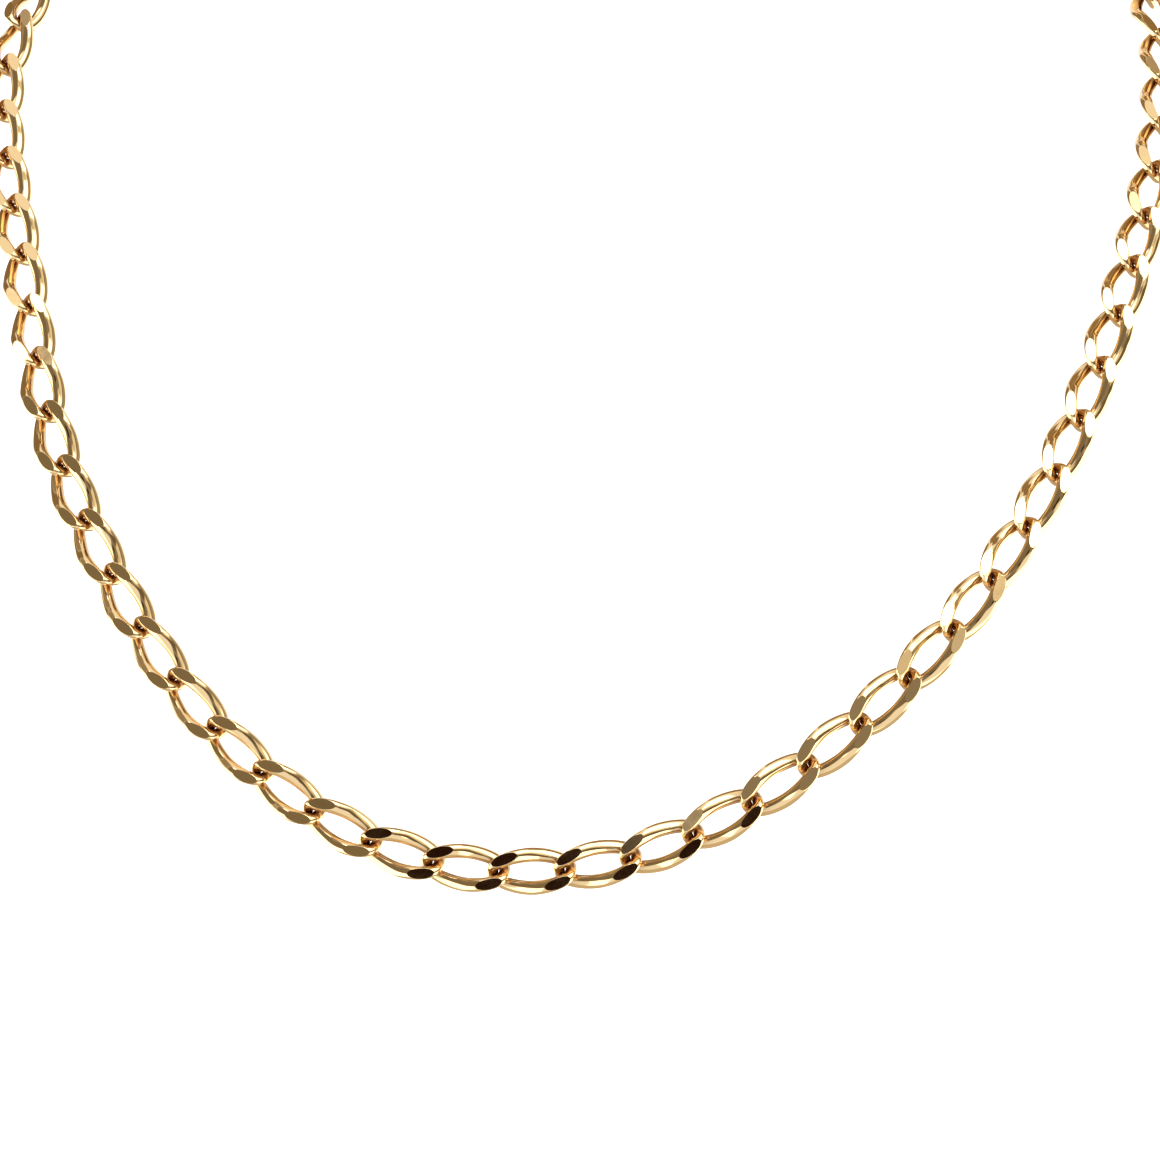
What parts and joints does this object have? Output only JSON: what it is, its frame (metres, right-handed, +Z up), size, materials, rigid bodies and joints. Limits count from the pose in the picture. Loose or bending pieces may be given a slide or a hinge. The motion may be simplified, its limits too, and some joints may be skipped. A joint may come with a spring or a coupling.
{
  "type": "curb chain necklace",
  "caption": "Gold-coloured curb chain necklace: a closed loop of twisted oval links cut flat on both faces, joined by a clasp at the nape.",
  "frame": {"origin": "the middle of the clasp, where the closed necklace hangs on the nape of the neck", "axes": "+Z up, -Y towards the wearer's front, +X towards the wearer's left"},
  "size_m": [0.1386, 0.1148, 0.1081],
  "materials": {
    "chain": "gold-plated, polished, with bright flat cuts",
    "clasp": "gold-plated, polished",
    "rings": "gold-plated, drawn wire"
  },
  "bodies": {
    "root": {"left_chain": "chain", "right_chain": "chain", "clasp": "clasp", "left_ring": "rings", "right_ring": "rings"}
  },
  "joints": []
}
